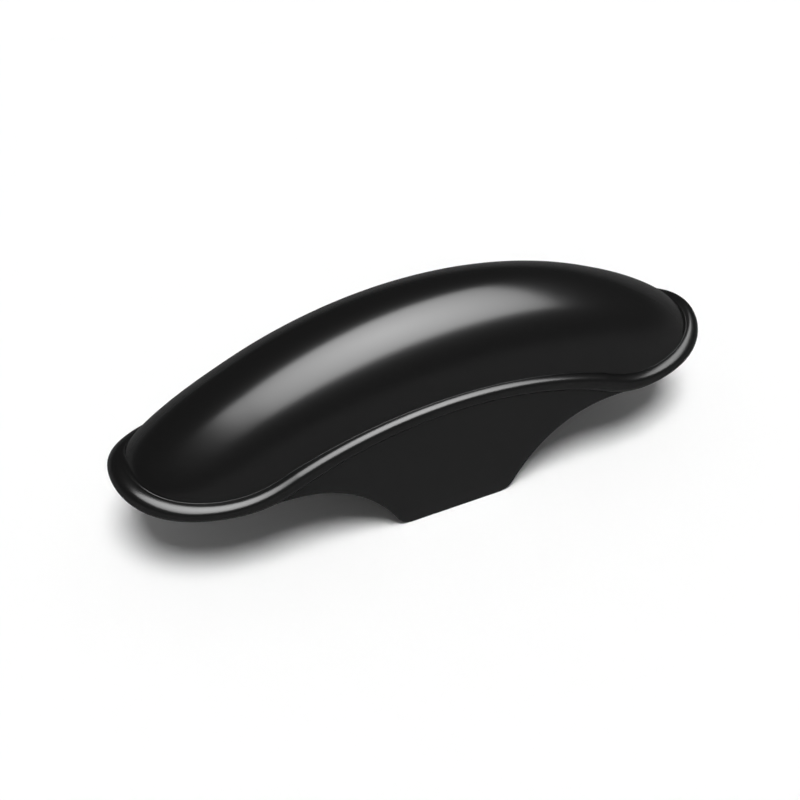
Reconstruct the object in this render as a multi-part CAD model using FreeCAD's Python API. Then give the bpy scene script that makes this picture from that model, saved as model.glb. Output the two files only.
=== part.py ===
import FreeCAD, Part
import math
import os

# Motorcycle front fender, one moulded shell, in millimetres.
# X runs along the wheel, Y across it and Z up. The origin is on the ground under the middle
# of the crown, and the shell stands on the straight bottom edges of its two side plates.

Vec = FreeCAD.Vector

# Crown
crown_radius = 340.0        # outside of the ridge, measured from the wheel axle
ridge_height = 158.5        # top of the ridge above the bottom edges of the plates
crown_half_width = 51.5     # middle of the crown to its border
crown_depth = 47.5          # ridge down to the border, along the sides
crown_arc = 70.5            # degrees of the elliptical arc that the cross section uses
wall = 3.0                  # sheet thickness

# Rounded ends
tip_angle = 39.3            # degrees about the axle, from the top of the ridge to its tip
end_length = 89.5           # length of a rounded end along the ridge
end_fullness = 3.1          # exponent of the end's plan curve, where 2 is an ellipse
end_drop = 0.2              # share of the crown depth that is left at the tip
tip_lift = 9.0              # rise of the tip away from the wheel

# Bead all round the border
bead_radius = 7.1           # outside of the formed bead
bead_offset = 1.8           # bead middle outboard of the line of the crown's wall
root_side = 3.3             # radius of the groove between crown and bead, along the sides
root_tip = 4.0              # the same at the tips
curl_angle = 110.0          # degrees the bead turns in below its outermost line

# Side plates
plate_bottom = 85.5         # length of the straight bottom edge, corners included
plate_corner = 8.0          # rounding of the bottom corners
plate_offset = 2.0          # outer face outboard of the bead middle
plate_turn = 65.0           # degrees round the end, from the tip, where the plate runs out
flank_pull = 0.68           # how far back along the bead the flank's curve is drawn

# Sampling of the curved surfaces
end_steps = 36              # round one end, from side to side
crown_steps = 16            # ridge to border
root_steps = 6              # across the groove
bead_steps = 14             # round the bead
run_out_steps = 8           # along the bead, from the straight side to the plate's end
plate_spare = 10.0          # degrees by which the plate's band runs on past the plate
tiny = 0.01                 # step of a slope taken by difference
join_gap = 0.001           # edges closer than this are one edge

axle_height = ridge_height - crown_radius
axle = Vec(0, 0, axle_height)
across = Vec(0, 1, 0)
lengthways = Vec(1, 0, 0)
straight = math.radians(tip_angle) * crown_radius - end_length
arc_sine = math.sin(math.radians(crown_arc))
arc_rise = 1.0 - math.cos(math.radians(crown_arc))


# Fall of the elliptical cross section at a share of its half width
def arch(share):
    turn = math.asin(min(share * arc_sine, 1.0))
    return (1.0 - math.cos(turn)) / arc_rise


def end_share(s):
    return max(abs(s) - straight, 0.0) / end_length


# Distance of the crown below the ridge circle, with s along the ridge and y across
def drop(s, y):
    share_along = end_share(s)
    share_across = abs(y) / crown_half_width
    reach = (share_along ** end_fullness + share_across ** end_fullness) ** (1.0 / end_fullness)
    bowl = (1.0 - end_drop) * arch(share_across) + end_drop * arch(reach)
    return crown_depth * bowl - tip_lift * share_along ** 2


def outward(s):
    turn = s / crown_radius
    return Vec(math.sin(turn), 0, math.cos(turn))


def forward(s):
    turn = s / crown_radius
    return Vec(math.cos(turn), 0, -math.sin(turn))


def crown_point(s, y):
    return axle + across * y + outward(s) * (crown_radius - drop(s, y))


def crown_normal(s, y):
    step_along = crown_point(s + tiny, y) - crown_point(s - tiny, y)
    step_across = crown_point(s, y + tiny) - crown_point(s, y - tiny)
    return step_along.cross(step_across).normalize()


# Border of the crown round one end, with the turn in degrees from the tip, and 90 where the
# straight side begins: place, and outward direction in plan
def border(turn):
    cosine = math.cos(math.radians(turn))
    sine = math.sin(math.radians(turn))
    size = (abs(cosine) ** end_fullness + abs(sine) ** end_fullness) ** (-1.0 / end_fullness)
    share_along = cosine * size
    share_across = sine * size
    power = end_fullness - 1.0
    plan_x = math.copysign(abs(share_along) ** power, share_along) / end_length
    plan_y = math.copysign(abs(share_across) ** power, share_across) / crown_half_width
    length = math.hypot(plan_x, plan_y)
    s = straight + end_length * share_along
    return s, crown_half_width * share_across, plan_x / length, plan_y / length


# Groove and bead at one place on the border, in the plane that stands out from it
class Section:
    def __init__(self, turn):
        s, y, plan_x, plan_y = border(turn)
        start = crown_point(s, y)
        self.up = outward(s)
        self.out = forward(s) * plan_x + across * plan_y
        stretch = crown_radius / (crown_radius - drop(s, y))
        inside = drop(s - tiny * plan_x * stretch, y - tiny * plan_y)
        slope = math.atan((drop(s, y) - inside) / tiny)
        run, fall = math.cos(slope), math.sin(slope)
        self.root = root_side + (root_tip - root_side) * end_share(s) ** 2
        # the bead goes down the wall's line until it just touches the groove's circle
        half = bead_offset * run
        rest = (bead_offset - self.root * fall) ** 2 + (self.root * run) ** 2
        down = math.sqrt(half ** 2 - rest + (bead_radius + self.root) ** 2) - half
        self.bead = start + self.out * (bead_offset + down * run) - self.up * (down * fall)
        self.groove = start + self.out * (self.root * fall) + self.up * (self.root * run)
        apart = self.groove - self.bead
        self.bead_from = math.atan2(apart.dot(self.up), apart.dot(self.out))
        self.root_from = math.atan2(-run, -fall)

    def around(self, middle, radius, angle):
        return middle + (self.out * math.cos(angle) + self.up * math.sin(angle)) * radius

    # a point of the groove at a share of its arc, some depth into the sheet
    def root_point(self, share, depth=0.0):
        angle = self.root_from + (self.bead_from - math.pi - self.root_from) * share
        return self.around(self.groove, self.root + depth, angle)

    # a point of the bead in the same terms
    def bead_point(self, share, depth=0.0):
        angle = self.bead_from - (self.bead_from + math.radians(curl_angle)) * share
        return self.around(self.bead, bead_radius - depth, angle)


def spread(first, last, steps):
    return [first + (last - first) * step / steps for step in range(steps + 1)]


end_turns = spread(-90.0, 90.0, end_steps)


# Outer and inner points of one end's crown, in rays from its hub on the ridge to the border
def crown_rows():
    shares = [math.sin(angle) for angle in spread(0.0, math.pi / 2, crown_steps)]
    outer, inner = [], []
    for turn in end_turns:
        s, y = border(turn)[:2]
        places = [(straight + (s - straight) * share, y * share) for share in shares]
        outer.append([crown_point(*place) for place in places])
        inner.append([crown_point(*place) - crown_normal(*place) * wall for place in places])
    return outer, inner


# Outer and inner points of the groove or of the bead, round one end
def lip_rows(point, steps):
    outer, inner = [], []
    for turn in end_turns:
        here = Section(turn)
        behind, ahead = Section(turn - tiny), Section(turn + tiny)
        outer_row, inner_row = [], []
        for share in spread(0.0, 1.0, steps):
            spot = point(here, share)
            step_round = point(ahead, share) - point(behind, share)
            step_out = point(here, share + tiny) - point(here, share - tiny)
            outer_row.append(spot)
            inner_row.append(spot - step_out.cross(step_round).normalize() * wall)
        outer.append(outer_row)
        inner.append(inner_row)
    return outer, inner


# Distance along a row of points to each of them
def marks(points):
    places = [0.0]
    for first, second in zip(points, points[1:]):
        places.append(places[-1] + (second - first).Length)
    return places


def threaded(points, places):
    curve = Part.BSplineCurve()
    curve.interpolate(Points=points, Parameters=places)
    return curve


# Smooth surface through rows of points. Patches that share their places round the end also
# share their border exactly.
def patch(rows, places):
    lines = [threaded(row, marks(rows[-1])) for row in rows]
    columns = list(zip(*[line.getPoles() for line in lines]))
    rounds = [threaded(column, places) for column in columns[1:]]
    # the first column may be a single point, the hub
    if (columns[0][0] - columns[0][1]).Length < join_gap:
        first = [columns[0][0]] * rounds[0].NbPoles
    else:
        first = threaded(columns[0], places).getPoles()
    poles = list(zip(first, *[line.getPoles() for line in rounds]))
    surface = Part.BSplineSurface()
    surface.buildFromPolesMultsKnots(
        poles, rounds[0].getMultiplicities(), lines[0].getMultiplicities(),
        rounds[0].getKnots(), lines[0].getKnots(), False, False, rounds[0].Degree, lines[0].Degree)
    return surface


def arc(first, middle, last):
    return Part.Arc(first, middle, last).toShape()


def opposite(spot):
    return Vec(-spot.x, spot.y, spot.z)


def mirrored(shapes, normal):
    return [shape.mirror(Vec(0, 0, 0), normal) for shape in shapes]


# The sheet: both skins and the lip between them, at the ends and along the sides.
# Between the ends the sheet is the end's last section, turned about the axle.
def shell():
    crowns = crown_rows()
    lips = lip_rows(Section.root_point, root_steps) + lip_rows(Section.bead_point, bead_steps)
    # the groove's inner skin starts on the very points where the crown's ends
    for crown_row, groove_row in zip(crowns[1], lips[1]):
        groove_row[0] = crown_row[-1]
    places = marks([row[-1] for row in crowns[0]])
    skins = [patch(rows, places) for rows in crowns + lips]
    rims = [skin.uIso(skin.bounds()[1]).toShape() for skin in skins]
    rims.append(Part.makeLine(lips[-2][-1][-1], lips[-1][-1][-1]))
    edges = [bead.vIso(bead.bounds()[3]).toShape() for bead in skins[-2:]]
    end = [skin.toShape() for skin in skins] + [Part.makeRuledSurface(*edges)]
    sweep = math.degrees(2 * straight / crown_radius)
    side = [rim.revolve(axle, across, -sweep) for rim in rims]
    faces = end + mirrored(end, lengthways) + side + mirrored(side, across)
    joined = faces[0].generalFuse(faces[1:], join_gap)[0]
    solid = Part.makeSolid(Part.makeShell(joined.Faces))
    solid.fix(join_gap, join_gap, join_gap)
    return solid


def spline(points):
    curve = Part.BSplineCurve()
    curve.interpolate(points)
    return curve.toShape()


def bezier(*poles):
    curve = Part.BezierCurve()
    curve.setPoles(poles)
    return curve


def closed_face(edges):
    return Part.Face(Part.Wire(Part.__sortEdges__(edges)))


# Points beside the bead, from the straight side to a turn of the front end
def run_out(point, last_turn):
    return [point(Section(turn)) for turn in spread(90.0, last_turn, run_out_steps)]


# Plate outline seen from the side: bottom edge, two hollow flanks, and a top inside the bead
def plate_side_view():
    # a point within the sheet under the bead, at a share of its thickness
    def in_bead(section, share):
        spot = section.bead - section.up * (bead_radius - wall * share)
        return Vec(spot.x, crown_half_width / 2, spot.z)

    bent = run_out(lambda section: in_bead(section, 0.8), plate_turn)
    tip = in_bead(Section(plate_turn), 0.2)
    corner = Vec(plate_bottom / 2, tip.y, 0)
    lead = tip - in_bead(Section(plate_turn + tiny), 0.2)
    pull = tip + lead * ((corner.x - tip.x) * flank_pull / lead.x)
    flank = bezier(corner, pull, tip)
    # the corner is rounded off between the bottom edge and a point a little way up the flank
    cut = plate_corner / (2 * (pull - corner).Length)
    high = flank.value(cut)
    rise = flank.tangent(cut)[0]
    knee = high - rise * (high.z / rise.z)
    low = knee - lengthways * (high - knee).Length
    flank.segment(cut, 1.0)
    half = [spline(bent), Part.makeLine(bent[-1], tip), flank.toShape()]
    half.append(bezier(low, knee, high).toShape())
    top = across * tip.y + axle + Vec(0, 0, math.hypot(bent[0].x, bent[0].z - axle.z))
    middle = [arc(bent[0], top, opposite(bent[0])), Part.makeLine(low, opposite(low))]
    return closed_face(half + mirrored(half, lengthways) + middle)


# Plate seen from above: a band of sheet that follows the bead
def plate_plan():
    def beside_bead(section, offset):
        flat = Vec(section.out.x, section.out.y, 0).normalize()
        return Vec(section.bead.x, section.bead.y, 0) + flat * offset

    lines = []
    for offset in (plate_offset, plate_offset - wall):
        lines.append(run_out(lambda section: beside_bead(section, offset), plate_turn - plate_spare))
    half = [spline(line) for line in lines] + [Part.makeLine(lines[0][-1], lines[1][-1])]
    middle = [Part.makeLine(line[0], opposite(line[0])) for line in lines]
    return closed_face(half + mirrored(half, lengthways) + middle)


def plate():
    slab = plate_side_view().extrude(across * crown_half_width)
    return slab.common(plate_plan().extrude(Vec(0, 0, ridge_height)))


plates = [plate()]
plates += mirrored(plates, across)
fender = shell().fuse(plates)

os.makedirs("parts", exist_ok=True)
fender.exportStep("parts/fender.step")
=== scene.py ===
import math
import bmesh
import bpy
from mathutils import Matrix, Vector


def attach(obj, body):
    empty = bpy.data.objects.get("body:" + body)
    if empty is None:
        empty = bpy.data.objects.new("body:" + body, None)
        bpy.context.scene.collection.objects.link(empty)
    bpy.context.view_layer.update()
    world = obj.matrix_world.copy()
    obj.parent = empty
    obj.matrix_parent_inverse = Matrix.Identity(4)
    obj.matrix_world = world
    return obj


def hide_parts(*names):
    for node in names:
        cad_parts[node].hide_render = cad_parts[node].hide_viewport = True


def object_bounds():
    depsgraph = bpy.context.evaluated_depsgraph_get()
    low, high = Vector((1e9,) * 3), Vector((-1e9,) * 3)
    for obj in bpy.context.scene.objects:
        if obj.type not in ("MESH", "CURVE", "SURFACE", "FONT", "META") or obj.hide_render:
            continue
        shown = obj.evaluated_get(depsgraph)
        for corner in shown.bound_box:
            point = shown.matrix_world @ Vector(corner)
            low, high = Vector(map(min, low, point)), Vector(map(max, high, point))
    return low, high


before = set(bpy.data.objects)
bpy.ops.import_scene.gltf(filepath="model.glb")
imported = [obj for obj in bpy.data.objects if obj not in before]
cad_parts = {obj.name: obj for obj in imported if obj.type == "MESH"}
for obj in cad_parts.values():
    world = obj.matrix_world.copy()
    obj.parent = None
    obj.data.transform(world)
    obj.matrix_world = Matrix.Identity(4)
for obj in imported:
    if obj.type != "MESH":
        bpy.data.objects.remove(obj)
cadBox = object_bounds()                      # the construction's own box, before any piece is added
print("frame loaded:", ", ".join(sorted(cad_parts)))


# Numbers that a node tree works out at every point, written like plain sums

class Field:
    def __init__(self, tree, socket):
        self.tree = tree
        self.socket = socket

    def __add__(self, other):
        return calc("ADD", self, other)

    def __sub__(self, other):
        return calc("SUBTRACT", self, other)

    def __rsub__(self, other):
        return calc("SUBTRACT", other, self)

    def __mul__(self, other):
        return calc("MULTIPLY", self, other)

    def __rmul__(self, other):
        return calc("MULTIPLY", other, self)

    def __truediv__(self, other):
        return calc("DIVIDE", self, other)

    def __rtruediv__(self, other):
        return calc("DIVIDE", other, self)

    def __pow__(self, other):
        return calc("POWER", self, other)


plainMaths = {
    "SINE": math.sin,
    "COSINE": math.cos,
    "ARCSINE": math.asin,
    "ARCTANGENT": math.atan,
    "TANGENT": math.tan,
    "SQRT": math.sqrt,
    "MAXIMUM": max,
}
rightAngle = math.pi / 2


def calc(operation, *values):             # on plain numbers, or as a node when one is a field
    fields = [value for value in values if isinstance(value, Field)]
    if not fields:
        return plainMaths[operation](*values)
    tree = fields[0].tree
    node = tree.nodes.new("ShaderNodeMath")
    node.operation = operation
    for slot, value in zip(node.inputs, values):
        if isinstance(value, Field):
            tree.links.new(value.socket, slot)
        else:
            slot.default_value = value
    return Field(tree, node.outputs[0])


def sine(angle):
    return calc("SINE", angle)


def cosine(angle):
    return calc("COSINE", angle)


# The sheet's rule, in metres and radians. One quarter is worked out and then mirrored.

shellSizes = {
    "crownRadius": 0.340,                 # outside of the ridge, from the wheel axle
    "ridgeHeight": cadBox[1].z,
    "crownHalfWidth": 0.0515,
    "crownDepth": 0.0475,                 # ridge down to the border, along the sides
    "crownArc": math.radians(70.5),       # part of the ellipse that the cross section uses
    "tipAngle": math.radians(39.3),       # about the axle, top of the ridge to the tip
    "endLength": 0.0895,
    "endFullness": 3.1,                   # 2 would be an ellipse
    "endDrop": 0.2,                       # share of the depth left at the tip
    "tipLift": 0.009,
    "beadRadius": 0.0071,
    "beadOffset": 0.0018,
    "rootSide": 0.0033,                   # sets how far the bead lies from the crown
    "rootTip": 0.004,
    "creaseSide": 0.0002,                 # radius of the groove between crown and bead
    "creaseTip": 0.0038,
    "beadInset": 0.0023,                  # along the sides the bead sits closer in, and lower
    "beadLower": 0.0019,
    "tuckLower": 0.0018,                  # more of that at mid length, where the bead is slimmer
    "tuckSlim": 0.0012,
    "curlAngle": math.radians(110.0),     # how far the bead turns in
}
wall = 0.003
shellSteps = {"side": 64, "end": 72, "crown": 30, "root": 8, "bead": 28}


def straightLength(sizes):                # half the crown's length between the rounded ends
    return sizes["tipAngle"] * sizes["crownRadius"] - sizes["endLength"]


def archFall(sizes, share):               # cross section: 0 at the ridge, 1 at the border
    turn = calc("ARCSINE", share * sine(sizes["crownArc"]))
    return (1.0 - cosine(turn)) / (1.0 - cosine(sizes["crownArc"]))


def archSlope(sizes, share):              # its steepness there
    arcSine = sine(sizes["crownArc"])
    turn = calc("ARCSINE", share * arcSine)
    return arcSine * calc("TANGENT", turn) / (1.0 - cosine(sizes["crownArc"]))


# Border of the crown. The side share goes from 0 at mid length to 1 where the rounded end
# begins, and the turn from a right angle there to 0 at the tip.
def borderPlace(sizes, sideShare, turn):
    power = sizes["endFullness"]
    cosTurn = calc("MAXIMUM", cosine(turn), 0.0)
    sinTurn = calc("MAXIMUM", sine(turn), 0.0)
    size = (cosTurn ** power + sinTurn ** power) ** (-1.0 / power)
    along = cosTurn * size
    across = sinTurn * size
    leanAlong = along ** (power - 1.0) / sizes["endLength"]
    leanAcross = across ** (power - 1.0) / sizes["crownHalfWidth"]
    lean = calc("SQRT", leanAlong ** 2.0 + leanAcross ** 2.0)
    return {
        "tuck": 1.0 - sideShare ** 2.0,
        "hub": sideShare * straightLength(sizes),
        "along": along,
        "across": across,
        "planAlong": leanAlong / lean,
        "planAcross": leanAcross / lean,
    }


# Distance below the ridge circle, at a share of the way from the hub to the border
def crownDrop(sizes, spot, share):
    side = archFall(sizes, spot["across"] * share) * (1.0 - sizes["endDrop"])
    bowl = archFall(sizes, share) * sizes["endDrop"]
    return (side + bowl) * sizes["crownDepth"] - (spot["along"] * share) ** 2.0 * sizes["tipLift"]


# Cosine and sine of the crown's steepness where it reaches the border
def borderFall(sizes, spot):
    power = sizes["endFullness"] - 1.0
    bowl = archSlope(sizes, 1.0) * sizes["endDrop"]
    fallAlong = bowl * spot["along"] ** power * sizes["crownDepth"]
    fallAlong = fallAlong - spot["along"] * sizes["tipLift"] * 2.0
    fallAcross = archSlope(sizes, spot["across"]) * (1.0 - sizes["endDrop"])
    fallAcross = (fallAcross + bowl * spot["across"] ** power) * sizes["crownDepth"]
    radius = sizes["crownRadius"]
    stretch = radius / (radius - crownDrop(sizes, spot, 1.0))
    steep = fallAlong / sizes["endLength"] * spot["planAlong"] * stretch
    steep = steep + fallAcross / sizes["crownHalfWidth"] * spot["planAcross"]
    slope = calc("ARCTANGENT", steep)
    return cosine(slope), sine(slope)


# Places in the plane that stands out from the border are (outward, upward) pairs
def beadSeat(sizes, spot, run, fall):
    offset = sizes["beadOffset"]
    root = sizes["rootSide"] + (sizes["rootTip"] - sizes["rootSide"]) * spot["along"] ** 2.0
    half = run * offset
    rest = (offset - root * fall) ** 2.0 + (root * run) ** 2.0
    down = calc("SQRT", half ** 2.0 - rest + (root + sizes["beadRadius"]) ** 2.0) - half
    return down * run + offset, down * fall * -1.0


# Middles, radii and first angles of the groove and of the bead
def lipCircles(sizes, spot):
    run, fall = borderFall(sizes, spot)
    seat = beadSeat(sizes, spot, run, fall)
    upright = (1.0 - spot["across"] ** 2.0) ** 2.0   # 1 at the tips, where the bead stands up
    inset = (1.0 - upright) * sizes["beadInset"]
    lower = (1.0 - upright) * sizes["beadLower"] + spot["tuck"] * sizes["tuckLower"]
    bead = (seat[0] - inset, seat[1] - lower)
    radius = sizes["beadRadius"] - spot["tuck"] * sizes["tuckSlim"]
    along = bead[0] * run - bead[1] * fall
    aside = bead[0] * fall + bead[1] * run
    crease = sizes["creaseSide"] + (sizes["creaseTip"] - sizes["creaseSide"]) * upright ** 3.0
    reach = along - calc("SQRT", (radius + crease) ** 2.0 - (aside - crease) ** 2.0)
    groove = (reach * run + crease * fall, crease * run - reach * fall)
    return {
        "groove": groove,
        "crease": crease,
        "bead": bead,
        "radius": radius,
        "rootFrom": calc("ARCTAN2", run * -1.0, fall * -1.0),
        "beadFrom": calc("ARCTAN2", groove[1] - bead[1], groove[0] - bead[0]),
    }


def circlePoint(middle, radius, angle):
    return [start + turn * radius for start, turn in zip(middle, (cosine(angle), sine(angle)))]


def groovePoint(lip, share):
    angle = lip["rootFrom"] + (lip["beadFrom"] - math.pi - lip["rootFrom"]) * share
    return circlePoint(lip["groove"], lip["crease"], angle)


def beadPoint(sizes, lip, share):
    angle = lip["beadFrom"] - (lip["beadFrom"] + sizes["curlAngle"]) * share
    return circlePoint(lip["bead"], lip["radius"], angle)


def ridgeAngle(sizes, spot, share):       # about the axle, from the top of the ridge
    return (spot["hub"] + spot["along"] * sizes["endLength"] * share) / sizes["crownRadius"]


# Turns a place on the sheet into x, y and z
def sheetPlace(sizes, spot, share, outward, upward):
    angle = ridgeAngle(sizes, spot, share)
    radial = sizes["crownRadius"] - crownDrop(sizes, spot, share) + upward
    lead = spot["planAlong"] * outward
    x = sine(angle) * radial + cosine(angle) * lead
    y = spot["across"] * share * sizes["crownHalfWidth"] + spot["planAcross"] * outward
    z = cosine(angle) * radial - sine(angle) * lead + (sizes["ridgeHeight"] - sizes["crownRadius"])
    return x, y, z


def newNode(tree, kind, links=None, **settings):
    node = tree.nodes.new(kind)
    for name, value in settings.items():
        setattr(node, name, value)
    for name, value in (links or {}).items():
        if isinstance(value, Field):
            tree.links.new(value.socket, node.inputs[name])
        elif isinstance(value, bpy.types.NodeSocket):
            tree.links.new(value, node.inputs[name])
        else:
            node.inputs[name].default_value = value
    return node


mergeGaps = {"hub": 1e-6, "quarters": 1e-5}   # points closer than this become one
gridSize = 1.0                                # of the flat sheet, before it is shaped
halfStep = 0.5                                # tells whole steps apart


# Steps out run from the ridge over the crown, the groove and the bead. Steps around run from
# mid length to the tip.
def sheetFields(sizes, out, around):
    sideShare = calc("MINIMUM", around / shellSteps["side"], 1.0)
    endShare = calc("MAXIMUM", around - shellSteps["side"], 0.0) / shellSteps["end"]
    spot = borderPlace(sizes, sideShare, (1.0 - endShare) * rightAngle)
    lip = lipCircles(sizes, spot)

    crownShare = sine(calc("MINIMUM", out / shellSteps["crown"], 1.0) * rightAngle)
    pastCrown = out - shellSteps["crown"]
    pastRoot = pastCrown - 1.0 - shellSteps["root"]
    groove = groovePoint(lip, (pastCrown - 1.0) / shellSteps["root"])
    bead = beadPoint(sizes, lip, pastRoot / shellSteps["bead"])
    onLip = calc("GREATER_THAN", pastCrown, halfStep)
    onBead = calc("GREATER_THAN", pastRoot, halfStep)
    outward, upward = [onLip * (groovePart + (beadPart - groovePart) * onBead)
                       for groovePart, beadPart in zip(groove, bead)]
    return sheetPlace(sizes, spot, crownShare, outward, upward)


def shellTree(material):
    tree = bpy.data.node_groups.new("fenderShellRule", "GeometryNodeTree")
    tree.interface.new_socket("Geometry", in_out="OUTPUT", socket_type="NodeSocketGeometry")
    for name in shellSizes:
        tree.interface.new_socket(name, in_out="INPUT", socket_type="NodeSocketFloat")
    inputs = newNode(tree, "NodeGroupInput")
    sizes = {name: Field(tree, inputs.outputs[name]) for name in shellSizes}

    stepsOut = shellSteps["crown"] + 1 + shellSteps["root"] + shellSteps["bead"]
    stepsAround = shellSteps["side"] + shellSteps["end"]
    grid = newNode(tree, "GeometryNodeMeshGrid", {
        "Size X": gridSize, "Size Y": gridSize,
        "Vertices X": stepsOut + 1, "Vertices Y": stepsAround + 1})
    position = newNode(tree, "GeometryNodeInputPosition").outputs[0]
    place = newNode(tree, "ShaderNodeSeparateXYZ", {"Vector": position})
    out, around = [
        calc("ROUND", (Field(tree, place.outputs[axis]) + gridSize / 2) * (steps / gridSize))
        for axis, steps in (("X", stepsOut), ("Y", stepsAround))]

    x, y, z = sheetFields(sizes, out, around)
    onSheet = newNode(tree, "ShaderNodeCombineXYZ", {"X": x, "Y": y, "Z": z})
    shaped = newNode(tree, "GeometryNodeSetPosition", {
        "Geometry": grid.outputs["Mesh"], "Position": onSheet.outputs[0]})
    merged = newNode(tree, "GeometryNodeMergeByDistance", {
        "Geometry": shaped.outputs[0], "Distance": mergeGaps["hub"]})
    smooth = newNode(tree, "GeometryNodeSetShadeSmooth", {"Geometry": merged.outputs[0]})
    realized = newNode(tree, "GeometryNodeRealizeInstances", {"Geometry": smooth.outputs[0]})
    painted = newNode(tree, "GeometryNodeSetMaterial", {
        "Geometry": realized.outputs[0], "Material": material})
    newNode(tree, "NodeGroupOutput", {"Geometry": painted.outputs[0]})
    return tree


def linked(name, data):
    piece = bpy.data.objects.new(name, data)
    bpy.context.scene.collection.objects.link(piece)
    return piece


def plainMesh(piece):                     # the piece as its modifiers leave it
    graph = bpy.context.evaluated_depsgraph_get()
    mesh = bpy.data.meshes.new_from_object(piece.evaluated_get(graph))
    piece.modifiers.clear()
    old = piece.data
    piece.data = mesh
    bpy.data.meshes.remove(old)
    return mesh


def mirrorQuarter(piece):
    mirror = piece.modifiers.new("otherQuarters", "MIRROR")
    mirror.use_axis = (True, True, False)
    mirror.merge_threshold = mergeGaps["quarters"]


def openMerged(mesh):
    work = bmesh.new()
    work.from_mesh(mesh)
    bmesh.ops.remove_doubles(work, verts=work.verts, dist=mergeGaps["quarters"])
    return work


def closeSmooth(work, mesh):
    for face in work.faces:
        face.smooth = True
    work.to_mesh(mesh)
    work.free()


def shellFacing(mesh):                    # the crown looks up, set before the wall is given
    work = openMerged(mesh)
    bmesh.ops.recalc_face_normals(work, faces=work.faces)
    top = max(work.faces, key=lambda face: face.calc_center_median().z)
    if top.normal.z < 0.0:
        bmesh.ops.reverse_faces(work, faces=work.faces)
    closeSmooth(work, mesh)


def plateFacing(mesh):                    # each plate's outer face looks away from the wheel
    work = openMerged(mesh)
    turned = [face for face in work.faces if face.normal.y * face.calc_center_median().y < 0.0]
    bmesh.ops.reverse_faces(work, faces=turned)
    closeSmooth(work, mesh)


edgeSizes = {
    "trimmedEdge": 0.0006,
    "segments": 3,
    "roundedFrom": math.radians(50.0),    # edges that turn more than this are rounded
    "sharpFrom": math.radians(34.0),      # and these are shaded as edges
}


def giveWall(piece):
    solidify = piece.modifiers.new("wall", "SOLIDIFY")
    solidify.thickness = wall
    solidify.offset = -1.0                # inward
    solidify.use_even_offset = True
    solidify.use_quality_normals = True
    solidify.material_offset = 1          # the wheel side takes the second finish
    bevel = piece.modifiers.new("softEdge", "BEVEL")
    bevel.width = edgeSizes["trimmedEdge"]
    bevel.segments = edgeSizes["segments"]
    bevel.limit_method = "ANGLE"
    bevel.angle_limit = edgeSizes["roundedFrom"]
    return plainMesh(piece)


def makeShell(outside, inside):
    piece = linked("fender_shell", bpy.data.meshes.new("fender_shell"))
    tree = shellTree(outside)
    rule = piece.modifiers.new("shellRule", "NODES")
    rule.node_group = tree
    for item in tree.interface.items_tree:
        if item.in_out == "INPUT":
            rule[item.identifier] = shellSizes[item.name]
    mirrorQuarter(piece)
    shellFacing(plainMesh(piece))
    piece.data.materials.append(inside)
    giveWall(piece)
    print("shell:", len(piece.data.polygons), "faces")
    return piece


# Side plates, straight down from the bead, with hollow flanks

plateSizes = {
    "bottom": 0.0855,                     # straight bottom edge, corners included
    "corner": 0.008,
    "offset": 0.002,                      # outer face outboard of the bead's seat
    "endTurn": math.radians(65.0),        # where the plate runs out, round the end from the tip
    "flankPull": 0.68,                    # how far in the flank keeps the run-out's direction
    "topSunk": 0.8,                       # shares of the wall by which the plate reaches
    "tipSunk": 0.2,                       # into the bottom of the bead
    "thinnest": 0.0008,                   # height at which the run-out stops, inside the bead
    "sideColumns": 96,
    "endColumns": 30,
    "rows": 6,
}


def beadSpot(sideShare, turn):
    spot = borderPlace(shellSizes, sideShare, turn)
    return spot, beadSeat(shellSizes, spot, *borderFall(shellSizes, spot))


def inBead(sideShare, turn, sunk):        # within the sheet at the bottom of the bead
    spot, (outward, upward) = beadSpot(sideShare, turn)
    buried = upward - shellSizes["beadRadius"] + wall * sunk
    return Vector(sheetPlace(shellSizes, spot, 1.0, outward, buried))


def plateFoot(sideShare, turn):           # plan point of the outer face
    spot, seat = beadSpot(sideShare, turn)
    middle = Vector(sheetPlace(shellSizes, spot, 1.0, *seat))
    angle = ridgeAngle(shellSizes, spot, 1.0)
    flat = Vector((cosine(angle) * spot["planAlong"], spot["planAcross"])).normalized()
    return middle.xy + flat * plateSizes["offset"]


def curveHeight(x, first, pull, last):    # height of a quadratic curve at x
    bend = first.x - 2 * pull.x + last.x
    half = pull.x - first.x
    share = (x - first.x) / (half + math.sqrt(max(half ** 2 + bend * (x - first.x), 0.0)))
    return first.y * (1 - share) ** 2 + 2 * pull.y * share * (1 - share) + last.y * share ** 2


def plateOutline():                       # height of the lower edge, as a function of x
    turnStep = 1e-4                       # for the direction in which the flank runs out
    endTurn, sunk = plateSizes["endTurn"], plateSizes["tipSunk"]
    tip = inBead(1.0, endTurn, sunk).xz
    lead = tip - inBead(1.0, endTurn + turnStep, sunk).xz
    corner = Vector((plateSizes["bottom"] / 2, 0.0))
    pull = tip + lead * ((corner.x - tip.x) * plateSizes["flankPull"] / lead.x)
    cut = plateSizes["corner"] / (2 * (pull - corner).length)
    high = corner * (1 - cut) ** 2 + pull * 2 * cut * (1 - cut) + tip * cut ** 2
    rise = (pull - corner) * (1 - cut) + (tip - pull) * cut
    knee = high - rise * (high.y / rise.y)
    low = Vector((knee.x - (high - knee).length, 0.0))

    def lowerEdge(x):
        if x <= low.x:
            return 0.0
        if x <= high.x:
            return curveHeight(x, low, knee, high)
        return curveHeight(x, corner, pull, tip)

    return lowerEdge


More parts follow.
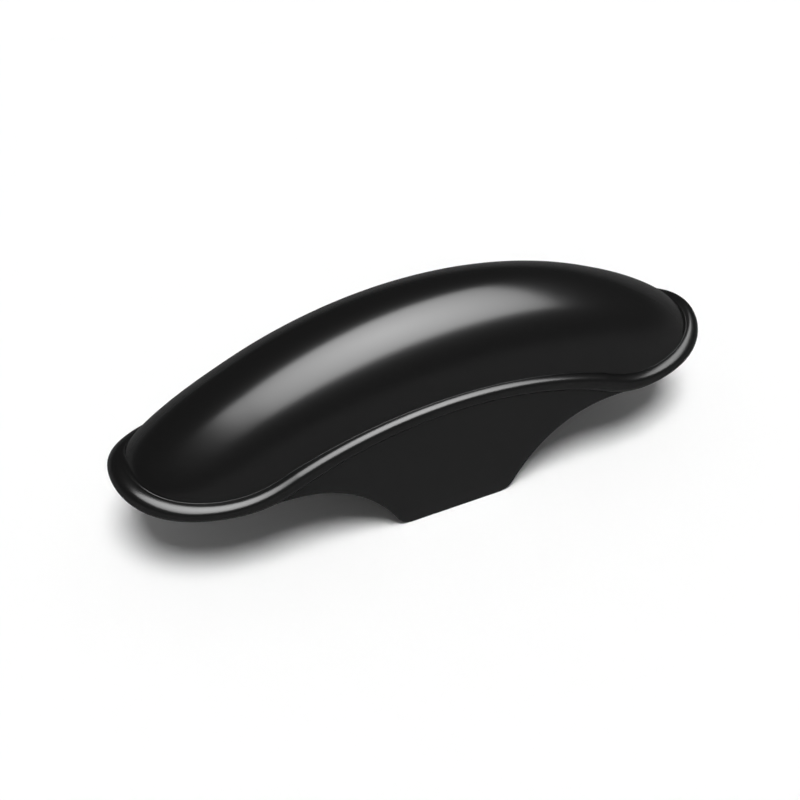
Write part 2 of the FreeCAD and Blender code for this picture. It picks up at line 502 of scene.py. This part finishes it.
def plateColumns():
    lowerEdge = plateOutline()
    sideColumns, endColumns, rows = [plateSizes[name] for name in ("sideColumns", "endColumns", "rows")]
    sweep = rightAngle - plateSizes["endTurn"]
    places = [(step / sideColumns, rightAngle) for step in range(sideColumns)]
    places += [(1.0, rightAngle - sweep * step / endColumns) for step in range(endColumns + 1)]
    columns = []
    for sideShare, turn in places:
        foot = plateFoot(sideShare, turn)
        top = inBead(sideShare, turn, plateSizes["topSunk"])
        angle = sideShare * straightLength(shellSizes) / shellSizes["crownRadius"]
        high = top.z - (foot.x - top.x) * math.tan(angle)
        low = lowerEdge(foot.x)
        if high - low < plateSizes["thinnest"]:
            break
        columns.append([(foot.x, foot.y, low + (high - low) * row / rows) for row in range(rows + 1)])
    return columns


def makePlates(outside, inside):
    work = bmesh.new()
    columns = [[work.verts.new(point) for point in column] for column in plateColumns()]
    for left, right in zip(columns, columns[1:]):
        for row in range(plateSizes["rows"]):
            work.faces.new((left[row + 1], left[row], right[row], right[row + 1]))
    mesh = bpy.data.meshes.new("side_plates")
    work.to_mesh(mesh)
    work.free()
    piece = linked("side_plates", mesh)
    mirrorQuarter(piece)
    plateFacing(plainMesh(piece))
    for material in (outside, inside):
        piece.data.materials.append(material)
    giveWall(piece)
    print("plates:", len(piece.data.polygons), "faces")
    return piece


def joinPlates(shell, plates):
    union = shell.modifiers.new("plates", "BOOLEAN")
    union.operation = "UNION"
    union.solver = "EXACT"
    union.object = plates
    mesh = plainMesh(shell)
    bpy.data.objects.remove(plates)
    mesh.set_sharp_from_angle(angle=edgeSizes["sharpFrom"])
    print("fender:", len(mesh.polygons), "faces")
    return shell


# Finishes: satin outside as it leaves the polished mould half, duller inside

blackFinish = {
    "outside": {"roughness": 0.21, "grainScale": 850.0, "grainDepth": 0.000003},
    "inside": {"roughness": 0.48, "grainScale": 1600.0, "grainDepth": 0.00002},
}
finishColour = (0.006, 0.006, 0.006, 1.0)
finishGloss = {"weight": 0.11, "ior": 1.8}    # thin satin skin over the dull black


def newMaterial(name, looks):
    material = bpy.data.materials.new(name)
    material.use_nodes = True
    shader = material.node_tree.nodes["Principled BSDF"]
    for socket, value in looks.items():
        shader.inputs[socket].default_value = value
    return material


def mouldedBlack(name):
    finish = blackFinish[name]
    material = newMaterial("black_" + name, {
        "Base Color": finishColour, "Roughness": finish["roughness"], "Specular IOR Level": 0.0,
        "Coat Weight": finishGloss["weight"], "Coat IOR": finishGloss["ior"],
        "Coat Roughness": finish["roughness"]})
    tree = material.node_tree
    place = newNode(tree, "ShaderNodeTexCoord").outputs["Object"]
    grain = newNode(tree, "ShaderNodeTexNoise", {
        "Vector": place, "Scale": finish["grainScale"], "Detail": 2.0})
    bump = newNode(tree, "ShaderNodeBump", {
        "Height": grain.outputs["Fac"], "Strength": 1.0, "Distance": finish["grainDepth"]})
    for socket in ("Normal", "Coat Normal"):
        tree.links.new(bump.outputs["Normal"], tree.nodes["Principled BSDF"].inputs[socket])
    return material


outside, inside = mouldedBlack("outside"), mouldedBlack("inside")
fender = joinPlates(makeShell(outside, inside), makePlates(outside, inside))
fender.name = "fender_skin"
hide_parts("fender")
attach(fender, "root")


# Studio: pale floor and backdrop

floorLooks = {"half": 30.0, "colour": (0.96, 0.96, 0.96, 1.0), "roughness": 0.9}
backdrop = {
    "overhead": 0.17,                     # dim room above a white horizon
    "paleBelow": 0.04,                    # heights are sines of the angle above the horizon
    "dimAbove": 0.2,
}


def makeFloor():
    half = floorLooks["half"]
    corners = [(-half, -half, 0), (half, -half, 0), (half, half, 0), (-half, half, 0)]
    mesh = bpy.data.meshes.new("floor")
    mesh.from_pydata(corners, [], [(0, 1, 2, 3)])
    floor = linked("floor", mesh)
    mesh.materials.append(newMaterial("pale_floor", {
        "Base Color": floorLooks["colour"], "Roughness": floorLooks["roughness"],
        "Specular IOR Level": 0.0}))


def makeBackdrop():
    world = bpy.data.worlds.new("studio")
    world.use_nodes = True
    tree = world.node_tree
    toward = newNode(tree, "ShaderNodeTexCoord").outputs["Generated"]
    height = newNode(tree, "ShaderNodeSeparateXYZ", {"Vector": toward}).outputs["Z"]
    fade = newNode(tree, "ShaderNodeMapRange", {
        "Value": height, "From Min": backdrop["paleBelow"], "From Max": backdrop["dimAbove"],
        "To Min": 1.0, "To Max": backdrop["overhead"]}, interpolation_type="SMOOTHSTEP")
    background = tree.nodes["Background"]
    background.inputs["Color"].default_value = (1.0, 1.0, 1.0, 1.0)
    tree.links.new(fade.outputs["Result"], background.inputs["Strength"])
    bpy.context.scene.world = world


cameraPlace = {
    "azimuth": math.radians(-24.82),
    "elevation": math.radians(40.93),
    "distance": 0.811,
    "target": (-0.0187, 0.0, 0.0638),
    "lens": 50.6,
    "sensor": 36.0,
}


def makeCamera():
    data = bpy.data.cameras.new("camera")
    data.lens = cameraPlace["lens"]
    data.sensor_width = cameraPlace["sensor"]
    camera = linked("camera", data)
    azimuth, elevation = cameraPlace["azimuth"], cameraPlace["elevation"]
    back = Vector((math.sin(azimuth) * math.cos(elevation),
                   -math.cos(azimuth) * math.cos(elevation), math.sin(elevation)))
    camera.location = Vector(cameraPlace["target"]) + back * cameraPlace["distance"]
    camera.rotation_euler = back.to_track_quat("Z", "Y").to_euler()
    bpy.context.scene.camera = camera


# Key light: wide and far off, so that the floor is even and its shadow soft
keyLight = {"toward": (-0.05, -0.28, 1.0), "distance": 4.0, "angle": math.radians(27.0), "level": 0.87}
# Softbox that the gloss shows as a band: its sizes are shares of its distance
sheenBox = {"toward": (0.14, -0.31, 1.0), "distance": 4.0, "size": (1.65, 0.98),
            "roll": math.radians(-6.0), "spread": math.radians(112.0), "radiance": 18.0}


def newLamp(name, kind, place):           # turned to the middle of the floor
    toward = Vector(place["toward"]).normalized()
    lamp = linked(name, bpy.data.lights.new(name, kind))
    lamp.location = toward * place["distance"]
    lamp.rotation_euler = toward.to_track_quat("Z", "Y").to_euler()
    return lamp


def makeKeyLight():
    lamp = newLamp("key", "SUN", keyLight)
    lamp.data.angle = keyLight["angle"]
    lamp.data.energy = keyLight["level"] * math.pi / lamp.location.normalized().z
    lamp.visible_glossy = False


def makeSheenBox():
    lamp = newLamp("sheen", "AREA", sheenBox)
    box = lamp.data
    box.shape = "RECTANGLE"
    box.size, box.size_y = [share * sheenBox["distance"] for share in sheenBox["size"]]
    box.energy = sheenBox["radiance"] * math.pi * box.size * box.size_y
    box.spread = sheenBox["spread"]
    lamp.rotation_euler.rotate_axis("Z", sheenBox["roll"])
    lamp.visible_diffuse = False


makeFloor()
makeCamera()
makeBackdrop()
makeKeyLight()
makeSheenBox()
bpy.context.scene.view_settings.view_transform = "Standard"
print("studio set")
